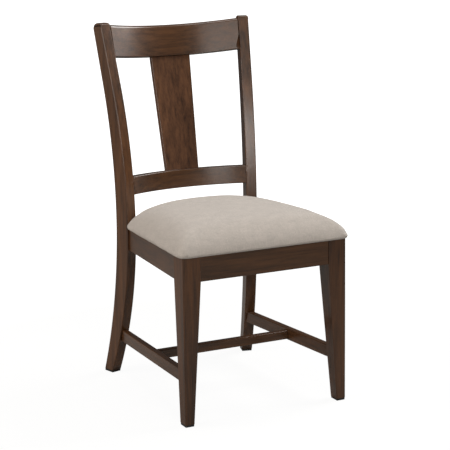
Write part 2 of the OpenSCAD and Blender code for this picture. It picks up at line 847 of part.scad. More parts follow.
module seat_cover() {
    outer = cover_rings(0, 0);
    inner = cover_rings(cover_t, cover_t);
    count = len(outer);
    inner_start = count * points_count;
    tip = [0, seat_mid, crown_z(0)];
    points = concat([for (r = outer) each r], [for (r = inner) each r], [tip, tip - [0, 0, cover_t]]);
    outer_faces = concat(
        [for (r = [0:count - 2]) each band_faces(r * points_count, (r + 1) * points_count)],
        fan_faces((count - 1) * points_count, 2 * inner_start));
    inner_faces = concat(
        [for (r = [0:count - 2])
            each band_faces(inner_start + r * points_count, inner_start + (r + 1) * points_count)],
        fan_faces(inner_start + (count - 1) * points_count, 2 * inner_start + 1));
    color(linen) placed() seat_place()
        polyhedron(points, concat(outer_faces, turned(inner_faces), turned(band_faces(0, inner_start))));
}

board_z = soft_gap + cover_t + soft_gap;
foam_z = board_z + board_t;

module seat_foam() {
    inward = cover_t + soft_gap;
    rings = concat(
        [ring(crown_shares[0], foam_z, inward)],
        [for (s = crown_shares) ring(s, crown_z(s) - inward, inward)]);
    count = len(rings);
    last = count * points_count;
    points = concat([for (r = rings) each r],
        [[0, seat_mid, crown_z(0) - inward], [0, seat_mid, foam_z]]);
    color(linen) placed() seat_place() polyhedron(points, concat(
        [for (r = [0:count - 2]) each band_faces(r * points_count, (r + 1) * points_count)],
        fan_faces(last - points_count, last),
        turned(fan_faces(0, last + 1))));
}

module seat_board() {
    outline = [for (i = [0:points_count - 1]) outline_point(i, cover_t + soft_gap) * board_share];
    color(birch) placed() difference() {
        seat_place() translate([0, seat_mid, board_z]) linear_extrude(board_t) polygon(outline);
        for (side = [-1, 1], rear = [false, true]) on_side(side) seat_screw(rear, screw_gap);
    }
}

// Black cloth that closes the underside of the board inside the frame
module dust_cover() {
    low = front_inner + dust_inset;
    high = rear_apron_y - dust_inset;
    front_x = apron_x - dust_inset;
    front_y = front_leg_d + dust_inset;
    rear_x = leg_x(rear_leg_t, 0) - 2 * dust_inset;
    rear_y = frame_depth - 2 * dust_inset;
    half = [
        [front_x, low],
        [front_x, front_y],
        [-apron_inner(front_y) - dust_inset, front_y],
        [-apron_inner(rear_y) - dust_inset, rear_y],
        [rear_x, rear_y],
        [rear_x, high]
    ];
    color(wood_dark) placed() difference() {
        seat_place() translate([0, 0, soft_gap / 2 - dust_t]) linear_extrude(dust_t)
            polygon(concat(half, [for (i = [len(half) - 1:-1:0]) [-half[i][0], half[i][1]]]));
        for (side = [-1, 1], rear = [false, true]) on_side(side) seat_screw(rear, screw_gap);
    }
}

// Glides: blocks that follow the feet, nailed under them
module glide_pin(gap) {
    cylinder(d = glide_pin_d + 2 * gap, h = glide_h + glide_pin_l + (gap > 0 ? end_gap : 0));
}

module front_glide_place() {
    translate([-front_half + leg_taper(glide_h, front_foot_w, front_leg_w) / 2,
        leg_taper(glide_h, front_foot_d, front_leg_d) / 2, 0]) children();
}

module rear_glide_place() {
    left_leg_place() translate([rear_leg_t / 2, (front_edge(glide_h) + back_edge(glide_h)) / 2, 0]) children();
}

module glide(foot_w, foot_d) {
    w = foot_w - 2 * glide_inset;
    d = foot_d - 2 * glide_inset;
    color("#151515") {
        translate([-w / 2, -d / 2, 0]) cube([w, d, glide_h]);
        glide_pin(0);
    }
}

module front_glide() {
    front_glide_place() glide(leg_taper(glide_h, front_foot_w, front_leg_w),
        leg_taper(glide_h, front_foot_d, front_leg_d));
}

module rear_glide() {
    rear_glide_place() glide(rear_leg_t, back_edge(glide_h) - front_edge(glide_h));
}

rear_leg(-1);  // rear_leg_left
rear_leg(1);  // rear_leg_right
front_leg(-1);  // front_leg_left
front_leg(1);  // front_leg_right
crest_rail();
back_rail();
splat();
front_apron();
rear_apron();
side_apron(-1);  // side_apron_left
side_apron(1);  // side_apron_right
side_stretcher(-1);  // side_stretcher_left
side_stretcher(1);  // side_stretcher_right
centre_stretcher();
corner_block(-1, false);  // corner_block_front_left
corner_block(1, false);  // corner_block_front_right
corner_block(-1, true);  // corner_block_rear_left
corner_block(1, true);  // corner_block_rear_right
apron_dowels();
corner_block_screws();
seat_screws();
seat_board();
seat_foam();
seat_cover();
dust_cover();
placed() front_glide();  // glide_front_left
placed() on_side(1) front_glide();  // glide_front_right
placed() rear_glide();  // glide_rear_left
placed() on_side(1) rear_glide();  // glide_rear_right
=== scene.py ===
# %% [markdown]
# # A splat back dining chair, dressed over its CAD frame
# Every piece of this chair was already given its size and place in CAD. This script loads that model as
# a fixed frame and adds what CAD leaves out: eased edges, stained and lacquered wood, a padded seat in
# woven cloth, the lining and staples under it, soft studio light and a camera.
# All lengths are in metres, with Z up and the chair's front towards -Y. Left and right are the camera's.

# %% Load the frame and keep its box
import math

import bmesh
import bpy
from mathutils import Matrix, Vector
from mathutils.bvhtree import BVHTree
from mathutils.geometry import convex_hull_2d


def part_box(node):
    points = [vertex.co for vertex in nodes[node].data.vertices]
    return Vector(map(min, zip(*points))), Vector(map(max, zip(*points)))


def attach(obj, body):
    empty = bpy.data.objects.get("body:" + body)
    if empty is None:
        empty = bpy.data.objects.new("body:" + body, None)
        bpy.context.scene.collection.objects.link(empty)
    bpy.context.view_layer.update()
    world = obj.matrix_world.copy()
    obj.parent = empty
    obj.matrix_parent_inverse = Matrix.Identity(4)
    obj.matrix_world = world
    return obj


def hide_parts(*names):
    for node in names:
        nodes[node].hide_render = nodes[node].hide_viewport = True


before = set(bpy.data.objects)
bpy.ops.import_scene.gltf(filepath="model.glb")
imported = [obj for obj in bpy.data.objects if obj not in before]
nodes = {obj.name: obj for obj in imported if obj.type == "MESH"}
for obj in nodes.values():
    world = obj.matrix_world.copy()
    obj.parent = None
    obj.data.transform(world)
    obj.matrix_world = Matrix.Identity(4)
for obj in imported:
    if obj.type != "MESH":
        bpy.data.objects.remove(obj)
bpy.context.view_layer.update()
mm = 0.001
print("pieces in the frame:", len(nodes))

# %% [markdown]
# ## The camera
# The photograph looks down on the chair's front from a little to the left, from far away with a long
# lens, so that upright edges stay almost parallel. A camera could be turned by hand until it looks right.
# Here its angle, distance and lens were found by matching the corners of the frame to the picture, which
# is more exact. The picture leans by less than a degree, and so does the camera.
# A camera looks along its own -Z, so its three axes are worked out first and put in one matrix.

# %% Camera
view_azimuth, view_elevation, view_roll = map(math.radians, (26.2, 12.3, -0.8))
camera_distance, aim_shift = 4.2653, 0.0034
image_pixels, focal_pixels, sensor_mm = 450, 1543.8, 36
forward = Vector((
    math.sin(view_azimuth) * math.cos(view_elevation),
    math.cos(view_azimuth) * math.cos(view_elevation),
    -math.sin(view_elevation),
))
level_right = Vector((math.cos(view_azimuth), -math.sin(view_azimuth), 0))
level_up = level_right.cross(forward)
camera_right = math.cos(view_roll) * level_right + math.sin(view_roll) * level_up
camera_up = camera_right.cross(forward)
aim = Vector((0, -0.0562, 0.4707)) + aim_shift * level_right
camera_place = aim - camera_distance * forward

camera_data = bpy.data.cameras.new("camera")
camera_data.sensor_width = sensor_mm
camera_data.lens = sensor_mm * focal_pixels / image_pixels
camera_data.clip_end = 50
camera = bpy.data.objects.new("camera", camera_data)
camera.matrix_world = Matrix.Translation(camera_place) @ Matrix(
    (camera_right, camera_up, -forward)).transposed().to_4x4()
scene = bpy.context.scene
scene.collection.objects.link(camera)
scene.camera = camera
print("camera at", [round(v, 3) for v in camera_place], "lens", round(camera_data.lens, 1), "mm")

# %% [markdown]
# ## Helpers for materials
# Every finish in this file is a small graph of shader nodes. In the editor they would be wired by hand.
# Here a few helpers do the wiring, so that each finish can be read from the top: where the pattern lies,
# what it looks like, and which sockets of the shader it feeds. A value that is the same all over is set
# on the shader's own socket, because an exporter can read it there.


# %% Material helpers
def new_material(name):
    """A material with nodes, its node tree and its Principled shader."""
    material = bpy.data.materials.new(name)
    material.use_nodes = True
    return material, material.node_tree, material.node_tree.nodes["Principled BSDF"]


def feed(tree, node, inputs):
    """Links each socket in inputs to the output that is given for it, or sets it to a plain value."""
    for socket, value in inputs.items():
        if isinstance(value, bpy.types.NodeSocket):
            tree.links.new(value, node.inputs[socket])
        else:
            node.inputs[socket].default_value = value


def add_node(tree, kind, inputs, **settings):
    """A new shader node with its settings made and its sockets fed. Returns its outputs."""
    node = tree.nodes.new("ShaderNode" + kind)
    for key, value in settings.items():
        setattr(node, key, value)
    feed(tree, node, inputs)
    return node.outputs


def maths(tree, operation, *values, clamp=False):
    """One step of arithmetic on outputs or numbers."""
    return add_node(tree, "Math", dict(enumerate(values)), operation=operation, use_clamp=clamp)[0]


def object_place(tree):
    """Object coordinates: the place of a point in metres, because every piece sits at the origin."""
    return add_node(tree, "TexCoord", {})["Object"]


def noise(tree, place, scale, detail, roughness=0.5, distortion=0.0):
    """Noise over a place. Three scales squeeze the place first, so that the noise comes out stretched."""
    if isinstance(scale, tuple):
        place, scale = add_node(tree, "Mapping", {"Scale": scale, "Vector": place})["Vector"], 1
    return add_node(tree, "TexNoise", {"Vector": place, "Scale": scale, "Detail": detail,
                                       "Roughness": roughness, "Distortion": distortion})["Fac"]


def two_tone(tree, value, dark, light, start=0, end=1):
    """A colour that goes from dark to light as a value goes from start to end."""
    node = tree.nodes.new("ShaderNodeValToRGB")
    for stop, position, colour in zip(node.color_ramp.elements, (start, end), (dark, light)):
        stop.position, stop.color = position, colour
    feed(tree, node, {"Fac": value})
    return node.outputs["Color"]


print("helpers for materials are ready")

# %% [markdown]
# ## The floor and the white around it
# The chair stands on white with hardly a shadow. A floor that is lit until it looks white would throw so
# much light back up that the dark wood turns pale. So the floor itself is grey, and its white is a glow
# that the camera sees in its place, less of it near the chair, where some of the real shadow stays.
# Rays through anything clear see all of that white too. Reflections see only a small share of it, because
# dark lacquer that mirrors a white floor and a white room all round turns grey.

# %% Floor
scene.view_settings.view_transform = "Standard"
floor_reach, floor_drop = 30, 0.2 * mm
mirrored_floor, mirrored_backdrop = 0.035, 0.03
shadow_start, shadow_end, least_glow, glow_strength = 0.9, 2.2, 0.7, 1.33


def white_share(tree, mirrored):
    """How much of the plain white a ray sees: all of it straight from the camera or through something
    clear, and the mirrored share of it in a reflection."""
    ray = add_node(tree, "LightPath", {})
    clear = maths(tree, "ADD", ray["Is Camera Ray"], ray["Is Transmission Ray"])
    return maths(tree, "MULTIPLY_ADD", ray["Is Glossy Ray"], mirrored, clear, clamp=True)


floor_mesh = bpy.data.meshes.new("floor")
bm = bmesh.new()
bmesh.ops.create_grid(bm, x_segments=1, y_segments=1, size=floor_reach)
bm.to_mesh(floor_mesh)
bm.free()
floor = bpy.data.objects.new("floor", floor_mesh)
floor.location.z = -floor_drop
scene.collection.objects.link(floor)

floor_white, tree, shader = new_material("floor_white")
feed(tree, shader, {"Base Color": (0.265, 0.26, 0.248, 1), "Roughness": 0.9, "Specular IOR Level": 0})
from_chair = add_node(tree, "VectorMath", {0: object_place(tree)}, operation="LENGTH")["Value"]
fade = add_node(tree, "MapRange", {"Value": from_chair, "From Min": shadow_start,
                                   "From Max": shadow_end, "To Min": least_glow, "To Max": 1})["Result"]
glow = add_node(tree, "Emission", {"Color": (1, 1, 1, 1), "Strength": glow_strength})[0]
seen_white = maths(tree, "MULTIPLY", white_share(tree, mirrored_floor), fade)
surface = add_node(tree, "MixShader", {0: seen_white, 1: shader.outputs[0], 2: glow})[0]
feed(tree, tree.nodes["Material Output"], {"Surface": surface})
floor_mesh.materials.append(floor_white)
print("floor:", 2 * floor_reach, "m wide, white for the camera beyond", shadow_end, "m")

# %% Backdrop
world = bpy.data.worlds.new("studio")
scene.world = world
world.use_nodes = True
tree = world.node_tree
ambient = tree.nodes["Background"]
feed(tree, ambient, {"Color": (1, 1, 1, 1), "Strength": 0.028})
backdrop = add_node(tree, "Background", {"Color": (1, 1, 1, 1), "Strength": 1})[0]
surface = add_node(tree, "MixShader", {0: white_share(tree, mirrored_backdrop), 1: ambient.outputs[0],
                                       2: backdrop})[0]
feed(tree, tree.nodes["World Output"], {"Surface": surface})
print("backdrop: white for the camera, a dim fill for the chair")

# %% [markdown]
# ## The light panels
# A chair like this is photographed between large soft boxes, and their reflections draw its curves. Small
# lamps would leave hard spots on the lacquer, so these are area lights. The curved rails show where they
# stand, because the rails are bright near their ends and dark in the middle. The key panel, high on the
# right, draws the thin bright line along the crest's top edge. The one overhead makes the seat's top the
# brightest part. The warm left panel is for the legs' left faces, the front panel for the faces towards
# the camera, and the low panel for the right post and the right end of the lower rail. The last one is
# weak, and fills in from the right.


# %% Light panels
def light_panel(name, azimuth, elevation, distance, width, height, power, tint=(1, 1, 1)):
    """A soft rectangular lamp aimed at the seat. Azimuth 0 is in front of the chair and 90 on its right
    as the camera sees it."""
    a, e = math.radians(azimuth), math.radians(elevation)
    out = Vector((math.sin(a) * math.cos(e), -math.cos(a) * math.cos(e), math.sin(e)))
    lamp = bpy.data.lights.new(name, "AREA")
    lamp.shape = "RECTANGLE"
    lamp.size, lamp.size_y, lamp.energy, lamp.color = width, height, power, tint
    panel = bpy.data.objects.new(name, lamp)
    panel.matrix_world = Matrix.Translation(seat_centre + distance * out) @ (
        out.to_track_quat("Z", "Y").to_matrix().to_4x4())
    scene.collection.objects.link(panel)
    print(name, "at", [round(v, 2) for v in panel.matrix_world.translation], power, "W")


seat_centre = Vector((0, 0, 0.5))
light_panel("overhead_panel", azimuth=-20, elevation=82, distance=2.2, width=1.4, height=1.2, power=19)
light_panel("key_panel", azimuth=88, elevation=41, distance=2.6, width=1.4, height=1.2, power=53)
light_panel("left_panel", azimuth=-100, elevation=18, distance=3.0, width=2.0, height=1.8, power=57,
            tint=(1, 0.945, 0.89))
light_panel("front_panel", azimuth=-22, elevation=24, distance=3.4, width=2.2, height=1.8, power=25,
            tint=(1, 0.98, 0.95))
light_panel("low_panel", azimuth=-8, elevation=10, distance=3.2, width=1.2, height=1.0, power=23,
            tint=(1, 0.985, 0.965))
light_panel("right_panel", azimuth=84, elevation=10, distance=3.0, width=1.3, height=1.0, power=10)

# %% [markdown]
# ## Stained and lacquered wood
# The frame is a hardwood in a dark walnut stain, under a satin lacquer. Three things make it read as
# wood: fine fibres that run along each piece, broader bands and streaks where the stain took up
# differently, and short pores. Pictures of wood could be wrapped round the pieces, but they need seams
# and repeat. So all of this is noise, stretched along the piece by a Mapping node.
# The coordinates are Object coordinates, so the grain is as long on a short rail as on a long leg.
# Where hands and cloths rub, the edges are a little lighter. This is partly real wear and partly a painted
# highlight of the light that the rounded edges catch. A value that the edge helper below writes on the
# mesh tells the material where that is.


# %% Wood finish
def grained_wood(name, grain_turn, dark, light, rough, seed, coat=0.45, edge=(0.24, 0.14, 0.09, 1)):
    """Stained wood whose grain runs along the X axis turned by grain_turn (radians about X, Y, Z). The
    seed moves the pattern, so that two finishes don't show the same streaks."""
    material, tree, shader = new_material(name)
    board = add_node(tree, "Mapping", {
        "Vector": object_place(tree), "Rotation": grain_turn,
        "Location": (seed * 0.37, seed * 0.21, seed * 0.11)}, vector_type="TEXTURE")["Vector"]
    bands = noise(tree, board, scale=(3, 26, 26), detail=3, distortion=0.6)
    streaks = noise(tree, board, scale=(5, 110, 110), detail=2, distortion=0.4)
    fibres = noise(tree, board, scale=(14, 420, 420), detail=3, roughness=0.6)
    pores = noise(tree, board, scale=(60, 900, 900), detail=1)

    broad = add_node(tree, "Mix", {"Factor": 0.5, "A": bands, "B": streaks}, data_type="FLOAT")
    tone = add_node(tree, "Mix", {"Factor": 0.3, "A": broad["Result"], "B": fibres},
                    data_type="FLOAT")["Result"]
    stain = two_tone(tree, tone, dark, light, start=0.37, end=0.66)
    pore_mask = add_node(tree, "MapRange", {"Value": pores, "From Min": 0.6, "From Max": 0.72,
                                            "To Max": 0.45})["Result"]
    with_pores = add_node(tree, "Mix", {"Factor": pore_mask, "A": stain, "B": (0.45, 0.4, 0.38, 1)},
                          data_type="RGBA", blend_type="MULTIPLY")["Result"]
    # Paler eased edges: partly rubbed-through wear, partly a painted highlight of the light they catch.
    edge_wear_and_highlight = add_node(tree, "Attribute", {}, attribute_name="edge_wear_and_highlight")["Fac"]
    worn_and_highlit = add_node(tree, "Mix", {"Factor": maths(tree, "MULTIPLY", edge_wear_and_highlight, bands), "A": with_pores,
                                  "B": edge}, data_type="RGBA")["Result"]
    sheen_change = add_node(tree, "MapRange", {"Value": tone, "To Min": rough - 0.05,
                                               "To Max": rough + 0.07})["Result"]
    relief = add_node(tree, "Bump", {"Strength": 0.25, "Distance": 0.2 * mm, "Height": fibres})["Normal"]
    feed(tree, shader, {"Base Color": worn_and_highlit, "Roughness": sheen_change, "Normal": relief,
                        "Specular Tint": (1, 0.94, 0.9, 1), "Coat Weight": coat, "Coat Roughness": 0.2})
    return material


along_x, along_y, along_z = (0, 0, 0), (0, 0, math.pi / 2), (0, math.pi / 2, 0)
stain_dark, stain_light = (0.029, 0.0118, 0.0039, 1), (0.115, 0.0465, 0.016, 1)
# Pale edge colour for the posts and splat: partly wear, partly a painted highlight along their edge lines.
rubbed_and_highlit_edge = (0.42, 0.29, 0.2, 1)
wood_upright = grained_wood("wood_upright", along_z, (0.031, 0.0122, 0.004, 1),
                            (0.132, 0.053, 0.018, 1), rough=0.3, seed=1, edge=rubbed_and_highlit_edge)
wood_front_leg = grained_wood("wood_front_leg", along_z, (0.028, 0.0105, 0.0032, 1),
                              (0.124, 0.0465, 0.0138, 1), rough=0.32, seed=6)
wood_cross = grained_wood("wood_cross", along_x, stain_dark, stain_light, rough=0.3, seed=2)
wood_side = grained_wood("wood_side", along_y, stain_dark, stain_light, rough=0.3, seed=3)
wood_splat = grained_wood("wood_splat", along_z, (0.03, 0.0115, 0.0048, 1),
                          (0.148, 0.062, 0.026, 1), rough=0.32, seed=4, edge=rubbed_and_highlit_edge)
print("wood finishes:", [material.name for material in bpy.data.materials if "wood" in material.name])

# %% [markdown]
# ## Eased edges
# No edge on real furniture is razor sharp: a maker runs sandpaper or a small router bit along it. That
# thin rounded line catches the light and is much of what the eye reads as wood. CAD keeps its edges
# sharp. A Bevel modifier with an angle limit would round all of them, also those inside the joints, so
# each visible wooden piece is copied, its triangles are merged into flat faces, and only its open convex
# edges get a bevel weight. Two sorts of edge stay crisp, as in the workshop: the rims of mortises, where
# a ray sent across the hole hits the same piece, and shoulders that press against another piece.

# %% Seat slope and solid pieces
front_rail, rear_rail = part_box("front_apron"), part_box("rear_apron")
slope = (rear_rail[1].z - front_rail[1].z) / (rear_rail[0].y - front_rail[0].y)


def above_frame(point):
    """Height of a point over the seat frame's sloping top."""
    return point.z - front_rail[1].z - slope * (point.y - front_rail[0].y)


rigid_trees = {}
for name, piece in nodes.items():
    if name.split("_")[0] not in ("seat", "dust"):
        rigid_trees[name] = BVHTree.FromPolygons(
            [v.co for v in piece.data.vertices], [p.vertices for p in piece.data.polygons])
print("seat frame slopes by", round(math.degrees(math.atan(slope)), 2), "degrees,", len(rigid_trees),
      "solid pieces to press against")

# %% Which edges are open
least_turn = math.radians(30)
hole_reach, contact_reach, off_surface_mm = 70 * mm, 1.5 * mm, 0.02


def is_open_edge(edge, own_tree, own_name):
    """True for a convex edge that isn't the rim of a hole and doesn't press on another piece."""
    if len(edge.link_faces) != 2 or not edge.is_convex or edge.calc_face_angle(0) < least_turn:
        return False
    first, second = (f.normal for f in edge.link_faces)
    middle = (edge.verts[0].co + edge.verts[1].co) / 2
    for down, across in ((first, second), (second, first)):
        inside_hole = middle - down * mm + across * off_surface_mm * mm
        if own_tree.ray_cast(inside_hole, across, hole_reach)[0] is not None:
            return False
    out = (first + second).normalized()
    start = middle + out * off_surface_mm * mm
    for name, other in rigid_trees.items():
        if name != own_name and other.ray_cast(start, out, contact_reach)[0] is not None:
            return False
    return True


print("edges that turn by", round(math.degrees(least_turn)), "degrees or more can be eased")


# %% Mesh helpers
def put_in_scene(name, mesh):
    piece = bpy.data.objects.new(name, mesh)
    scene.collection.objects.link(piece)
    return piece


def mesh_from(bm, name):
    mesh = bpy.data.meshes.new(name)
    bm.to_mesh(mesh)
    bm.free()
    return mesh


def baked(piece, name):
    """The piece's mesh with its modifiers applied."""
    bpy.context.view_layer.update()
    graph = bpy.context.evaluated_depsgraph_get()
    mesh = bpy.data.meshes.new_from_object(piece.evaluated_get(graph))
    mesh.name = name
    return mesh


print("helpers for meshes are ready")

# %% Edge helper
flat_angle, crease_angle = math.radians(0.05), math.radians(38)
merge_gap, upward = 0.002 * mm, 0.85


def rounded_mesh(node_name, radius, top_radius, leave):
    """A CAD piece's mesh with its open edges bevelled, whose new faces have material 1. Prints how many
    edges that were."""
    bm = bmesh.new()
    bm.from_mesh(nodes[node_name].data)
    bmesh.ops.remove_doubles(bm, verts=bm.verts, dist=merge_gap)
    bmesh.ops.dissolve_limit(bm, angle_limit=flat_angle, verts=bm.verts, edges=bm.edges)
    bm.normal_update()
    own_tree = BVHTree.FromBMesh(bm)
    weight = bm.edges.layers.float.new("bevel_weight_edge")
    widest = max(radius, top_radius)
    count = 0
    for edge in bm.edges:
        middle = (edge.verts[0].co + edge.verts[1].co) / 2
        if is_open_edge(edge, own_tree, node_name) and not (leave and leave(middle)):
            at_top = any(f.normal.z > upward for f in edge.link_faces)
            edge[weight] = (top_radius if at_top else radius) / widest
            count += 1
    work = put_in_scene("work", mesh_from(bm, "work"))
    rounding = work.modifiers.new("rounding", "BEVEL")
    rounding.limit_method = "WEIGHT"
    rounding.width = widest
    rounding.segments = 4
    rounding.profile = 0.5
    rounding.use_clamp_overlap = False
    rounding.material = 1
    mesh = baked(work, node_name + "_eased")
    bpy.data.objects.remove(work)
    print(f"{node_name}: {count} edges eased, {len(mesh.polygons)} faces")
    return mesh


def eased(node_name, radius, top_radius, material, leave=None):
    """Puts a copy of a CAD piece in its place, with its open edges rounded to radius, and those round its
    top end to top_radius. leave(middle of an edge) is True for edges that stay sharp."""
    mesh = rounded_mesh(node_name, radius, top_radius, leave)
    bm = bmesh.new()
    bm.from_mesh(mesh)
    # Vertices only on bevel faces get 1: there the material paints its edge wear and edge highlight.
    edge_wear_and_highlight = bm.verts.layers.float.new("edge_wear_and_highlight")
    for vert in bm.verts:
        vert[edge_wear_and_highlight] = 1.0 if all(f.material_index == 1 for f in vert.link_faces) else 0.0
    for face in bm.faces:
        face.smooth = True
        face.material_index = 0
    bm.to_mesh(mesh)
    bm.free()
    mesh.set_sharp_from_angle(angle=crease_angle)
    mesh.materials.clear()
    mesh.materials.append(material)
    piece = put_in_scene(node_name + "_eased", mesh)
    weighted = piece.modifiers.new("even_shading", "WEIGHTED_NORMAL")
    weighted.keep_sharp = True
    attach(piece, "root")
    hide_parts(node_name)


print("edge helper is ready")

# %% [markdown]
# ## Legs, rails and stretchers
# Each piece gets its own radius: a rear leg is handled most and is rounded most, the seat rails only have
# their arrises taken off, and the crest rail's top is rounded over where a hand takes hold of the chair.
# One radius for all of them would be quicker, but then the chair looks moulded. Edges under the
# cushion's rim stay sharp, because the cloth is pressed on them there.

# %% Legs, rails and stretchers
wooden_pieces = {  # the radius in mm, the radius at its top in mm, and the finish
    "rear_leg_left": (2.6, 5, wood_upright), "rear_leg_right": (2.6, 5, wood_upright),
    "front_leg_left": (2, 2, wood_front_leg), "front_leg_right": (2, 2, wood_front_leg),
    "crest_rail": (2.2, 9, wood_cross), "back_rail": (2.4, 3, wood_cross),
    "front_apron": (1.4, 1.4, wood_cross), "rear_apron": (1.4, 1.4, wood_cross),
    "side_apron_left": (1.4, 1.4, wood_side), "side_apron_right": (1.4, 1.4, wood_side),
    "side_stretcher_left": (1.8, 2.4, wood_side), "side_stretcher_right": (1.8, 2.4, wood_side),
    "centre_stretcher": (1.8, 2.4, wood_cross), "splat": (1.8, 1.8, wood_splat),
}
under_low, under_high = -3 * mm, 6 * mm


def under_the_seat(point):
    return under_low < above_frame(point) < under_high


for name, (radius_mm, top_mm, material) in wooden_pieces.items():
    eased(name, radius_mm * mm, top_mm * mm, material,
          leave=under_the_seat if "apron" in name or "front_leg" in name else None)

# %% [markdown]
# ## Woven seat cloth
# The seat is covered in a warm grey cloth with the look of linen: a plain weave of slightly uneven
# threads, some thicker than others, in close shades. Threads could be modelled one by one, but there are
# hundreds each way, so the weave is a pattern in colour and bump. It has to follow the cloth over the
# edge of the seat, so it reads a UV map in metres that a later cell lays out from the pad's own shape.
# Each thread is half a sine wave, and a product of two sines says which thread lies on top. Where a thread
# dips between the others, its colour is darkened as a painted shade in the gaps of the weave.


# %% Cloth finish
def woven_cloth(name, colour, pitch, shade_change, fuzz=0.25):
    """A plain weave on the UV map "cloth", whose unit is a metre. pitch is one thread's width."""
    material, tree, shader = new_material(name)
    slub_share, mottle_share, painted_valley_shade = 0.32, 0.19, 0.62
    laid = add_node(tree, "UVMap", {}, uv_map="cloth")["UV"]
    split = add_node(tree, "SeparateXYZ", {0: laid})
    warp = maths(tree, "SINE", maths(tree, "MULTIPLY", split["X"], math.pi / pitch))
    weft = maths(tree, "SINE", maths(tree, "MULTIPLY", split["Y"], math.pi / pitch))
    over = maths(tree, "GREATER_THAN", maths(tree, "MULTIPLY", warp, weft), 0.0)
    height = add_node(tree, "Mix", {"Factor": over, "A": maths(tree, "ABSOLUTE", warp),
                                    "B": maths(tree, "ABSOLUTE", weft)}, data_type="FLOAT")["Result"]

    slubs = maths(tree, "ADD", noise(tree, laid, (28, 700, 1), 2), noise(tree, laid, (700, 28, 1), 2))
    mottle = maths(tree, "ADD", noise(tree, laid, (160, 160, 1), 3), noise(tree, laid, (34, 34, 1), 2))
    shade = maths(tree, "ADD", maths(tree, "MULTIPLY", slubs, slub_share),
                  maths(tree, "MULTIPLY", mottle, mottle_share))
    deep, pale = ([c * k for c in colour] + [1] for k in (1 - shade_change, 1 + shade_change))
    tint = two_tone(tree, shade, deep, pale, start=0.36, end=0.64)
    # Painted shade: the colour darkens where the threads dip, as if shadowed between them.
    out_of_painted_valley = maths(tree, "ADD", maths(tree, "MULTIPLY", height, 0.9), 0.35)
    shaded_valleys = add_node(tree, "Mix", {"Factor": maths(tree, "MINIMUM", out_of_painted_valley, 1.0),
                                    "A": [c * painted_valley_shade for c in colour] + [1], "B": tint},
                      data_type="RGBA")["Result"]
    relief = add_node(tree, "Bump", {"Strength": 0.5, "Distance": 0.4 * mm,
                                     "Height": maths(tree, "ADD", height, slubs)})["Normal"]
    feed(tree, shader, {"Base Color": shaded_valleys, "Normal": relief, "Roughness": 0.92,
                        "Specular IOR Level": 0.2, "Sheen Weight": fuzz, "Sheen Roughness": 0.6})
    return material


seat_linen = woven_cloth("seat_linen", (0.458, 0.405, 0.356), pitch=1.1 * mm, shade_change=0.2)
print("cloth finish:", seat_linen.name)

# %% [markdown]
# ## The padded seat
# A seat like this is a plywood board with a block of foam on it and a cloth pulled down over both, so
# its shape is the balance of foam that pushes out and cloth that holds it in. It could be sculpted, but
# that balance is what a cloth simulation finds. The closed skin round the CAD pad is the start. Its
# shoulder is lifted, its crown is lowered a little to leave room for the swell, its corners are softened,
# and its rear middle is domed, with lower rear corners, as the photograph shows. Then it is remeshed
# evenly and blown up from inside, while the part that is stapled to the board stays where it is.
# It becomes two real pieces: a cover, open underneath, and a foam block that stops at the board.

# %% The closed skin of the CAD pad
bm = bmesh.new()
bm.from_mesh(nodes["seat_cover"].data)
bmesh.ops.remove_doubles(bm, verts=bm.verts, dist=0.01 * mm)
hull = bmesh.ops.convex_hull(bm, input=bm.verts, use_existing_faces=False)
skin = {part for part in hull["geom"] if isinstance(part, bmesh.types.BMFace)}
bmesh.ops.delete(bm, geom=[f for f in bm.faces if f not in skin], context="FACES")
bmesh.ops.delete(bm, geom=[v for v in bm.verts if not v.link_faces], context="VERTS")
bmesh.ops.recalc_face_normals(bm, faces=bm.faces)
pad_surface = BVHTree.FromBMesh(bm)
print("pad skin:", len(bm.faces), "faces,", round(bm.calc_volume() * 1000, 1), "litres")

# %% The outline seen from above
bm.verts.ensure_lookup_table()
outline = [bm.verts[i].co.xy for i in convex_hull_2d([v.co.xy for v in bm.verts[:]])]
seat_middle = Vector((0, (min(p.y for p in outline) + max(p.y for p in outline)) / 2))
half_width = max(p.x for p in outline)
steps = 360


def reach(turn):
    """Distance from the middle of the seat to its outline in one direction."""
    direction = Vector((math.cos(turn), math.sin(turn)))
    best = 1.0
    for start, end in zip(outline, outline[1:] + outline[:1]):
        out = Vector((end.y - start.y, start.x - end.x))
        if out.dot(start - seat_middle) < 0:
            out = -out
        if out.dot(direction) > 1e-9:
            best = min(best, out.dot(start - seat_middle) / out.dot(direction))
    return best


def softened(width):
    """The outline's reaches with its corners spread over about width degrees to each side."""
    window = range(-3 * width, 3 * width + 1)
    spread = [math.exp(-0.5 * (k / width) ** 2) for k in window]
    return [sum(w * reaches[(i + k) % steps] for w, k in zip(spread, window)) / sum(spread)
            for i in range(steps)]


def at_turn(table, turn):
    """The value of a table of reaches in any direction."""
    place = turn / (2 * math.pi) * steps
    low = math.floor(place)
    return table[low % steps] * (1 - place + low) + table[(low + 1) % steps] * (place - low)


reaches = [reach(2 * math.pi * i / steps) for i in range(steps)]
soft_corners, round_corners = softened(width=6), softened(width=15)
print("seat outline:", len(outline), "points, reaches", round(min(reaches), 3), "to",
      round(max(reaches), 3))

# %% The pad's starting shape
bulge_height, foot_height = 14 * mm, 3 * mm
top_shrink, shoulder_lift = 7.5 * mm, 27 * mm
soft_zone, round_edge, round_zone = 0.25, 0.88, 0.35
rear_dome_mm, rear_side_drop_mm, front_side_lift_mm = 4, 16, 2.5
belly_mm, belly_spread = 4.5, 12 * mm


def gradual(x):
    """Goes from 0 to 1 without a jerk."""
    x = min(1, max(0, x))
    return x * x * (3 - 2 * x)


